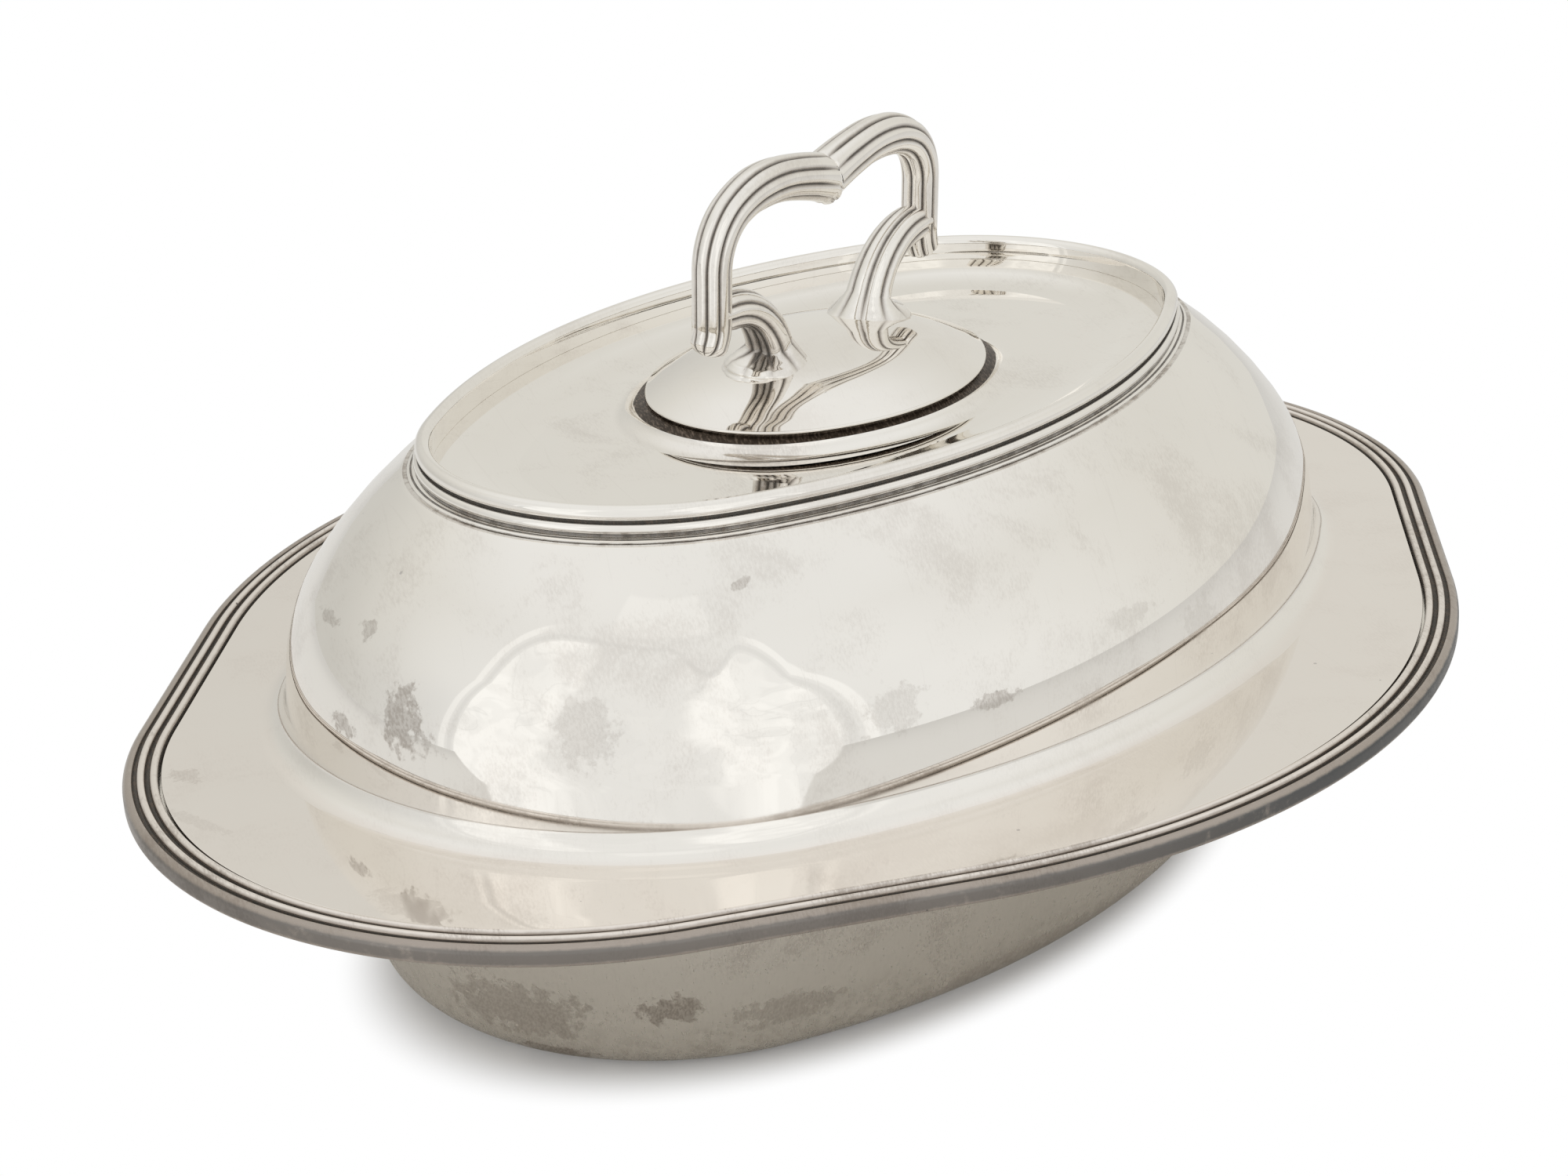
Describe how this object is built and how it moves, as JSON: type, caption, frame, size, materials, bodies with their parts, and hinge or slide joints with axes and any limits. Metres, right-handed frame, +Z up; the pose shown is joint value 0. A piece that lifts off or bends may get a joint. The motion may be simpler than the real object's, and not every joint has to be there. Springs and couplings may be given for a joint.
{
  "type": "covered vegetable dish",
  "caption": "Oval covered serving dish of silver-plated metal: flanged well with a reeded border, domed cover with a foot ring, and a scroll handle that locks by a quarter turn.",
  "frame": {"origin": "middle of the dish's flat bottom, on the table", "axes": "+X along the dish's length, +Y across it, +Z up"},
  "size_m": [0.307, 0.2424, 0.1439],
  "materials": {
    "polished_plate": "polished silver plate with light tarnish",
    "worn_plate": "satin silver plate, tarnished in patches",
    "cast_plate": "cast and silver plated, dark in the grooves",
    "inner_hardware": "plain turned metal"
  },
  "bodies": {
    "dish": {"dish_bowl": "worn_plate", "dish_border": "polished_plate"},
    "cover": {"cover_dome": "polished_plate", "cover_foot_ring": "polished_plate", "handle_plinth": "polished_plate", "lock_plate": "inner_hardware"},
    "handle": {"handle_base_disc": "polished_plate", "handle_scroll_right": "cast_plate", "handle_foot_right": "cast_plate", "handle_scroll_left": "cast_plate", "handle_foot_left": "cast_plate", "bayonet_stud": "inner_hardware", "bayonet_cross_pin": "inner_hardware"}
  },
  "joints": [
    {"name": "cover_lift", "type": "slide", "parent": "dish", "child": "cover", "axis": [0, 0, 1], "range_m": [0, 0.12]},
    {"name": "handle_turn", "type": "hinge", "parent": "cover", "child": "handle", "pos_m": [0, 0, 0.0982], "axis": [0, 0, 1], "range_deg": [-5.2, 84.8]}
  ]
}
